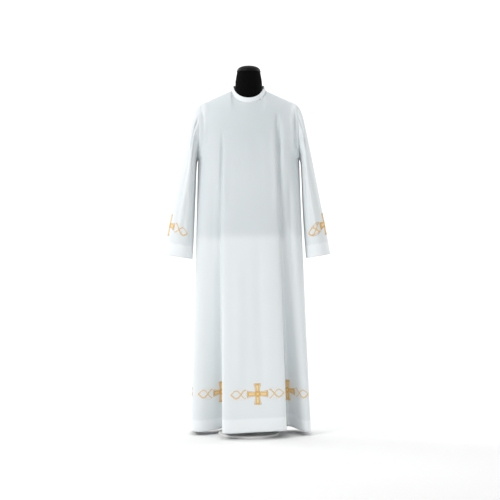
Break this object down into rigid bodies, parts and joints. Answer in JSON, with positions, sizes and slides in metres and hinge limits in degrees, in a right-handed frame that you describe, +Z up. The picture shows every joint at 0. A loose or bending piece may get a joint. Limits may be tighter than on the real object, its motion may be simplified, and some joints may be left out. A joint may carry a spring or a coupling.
{
  "type": "alb robe on a limbless dress form",
  "caption": "Long white alb with a stand collar, straight sleeves and embroidered hem and cuffs, hanging on a black dress form with a flat round foot.",
  "frame": {"origin": "centre of the round foot's underside, on the surface it stands on", "axes": "+Z up along the pole, -Y out of the front of the robe, +X towards the wearer's left"},
  "size_m": [0.7156, 0.2969, 1.5813],
  "materials": {
    "alb_cloth": "fine plain weave, slightly sheer, gold embroidery at hem and cuffs",
    "form_cover": "black jersey stretched smooth",
    "form_cap": "satin black",
    "steel": "brushed",
    "base_paint": "pale powder coat"
  },
  "bodies": {
    "root": {"front": "alb_cloth", "back": "alb_cloth", "sleeve_right": "alb_cloth", "sleeve_left": "alb_cloth", "collar": "alb_cloth", "form_bust": "form_cover", "form_cap": "form_cap", "form_pole": "steel", "form_base": "base_paint"}
  },
  "joints": []
}
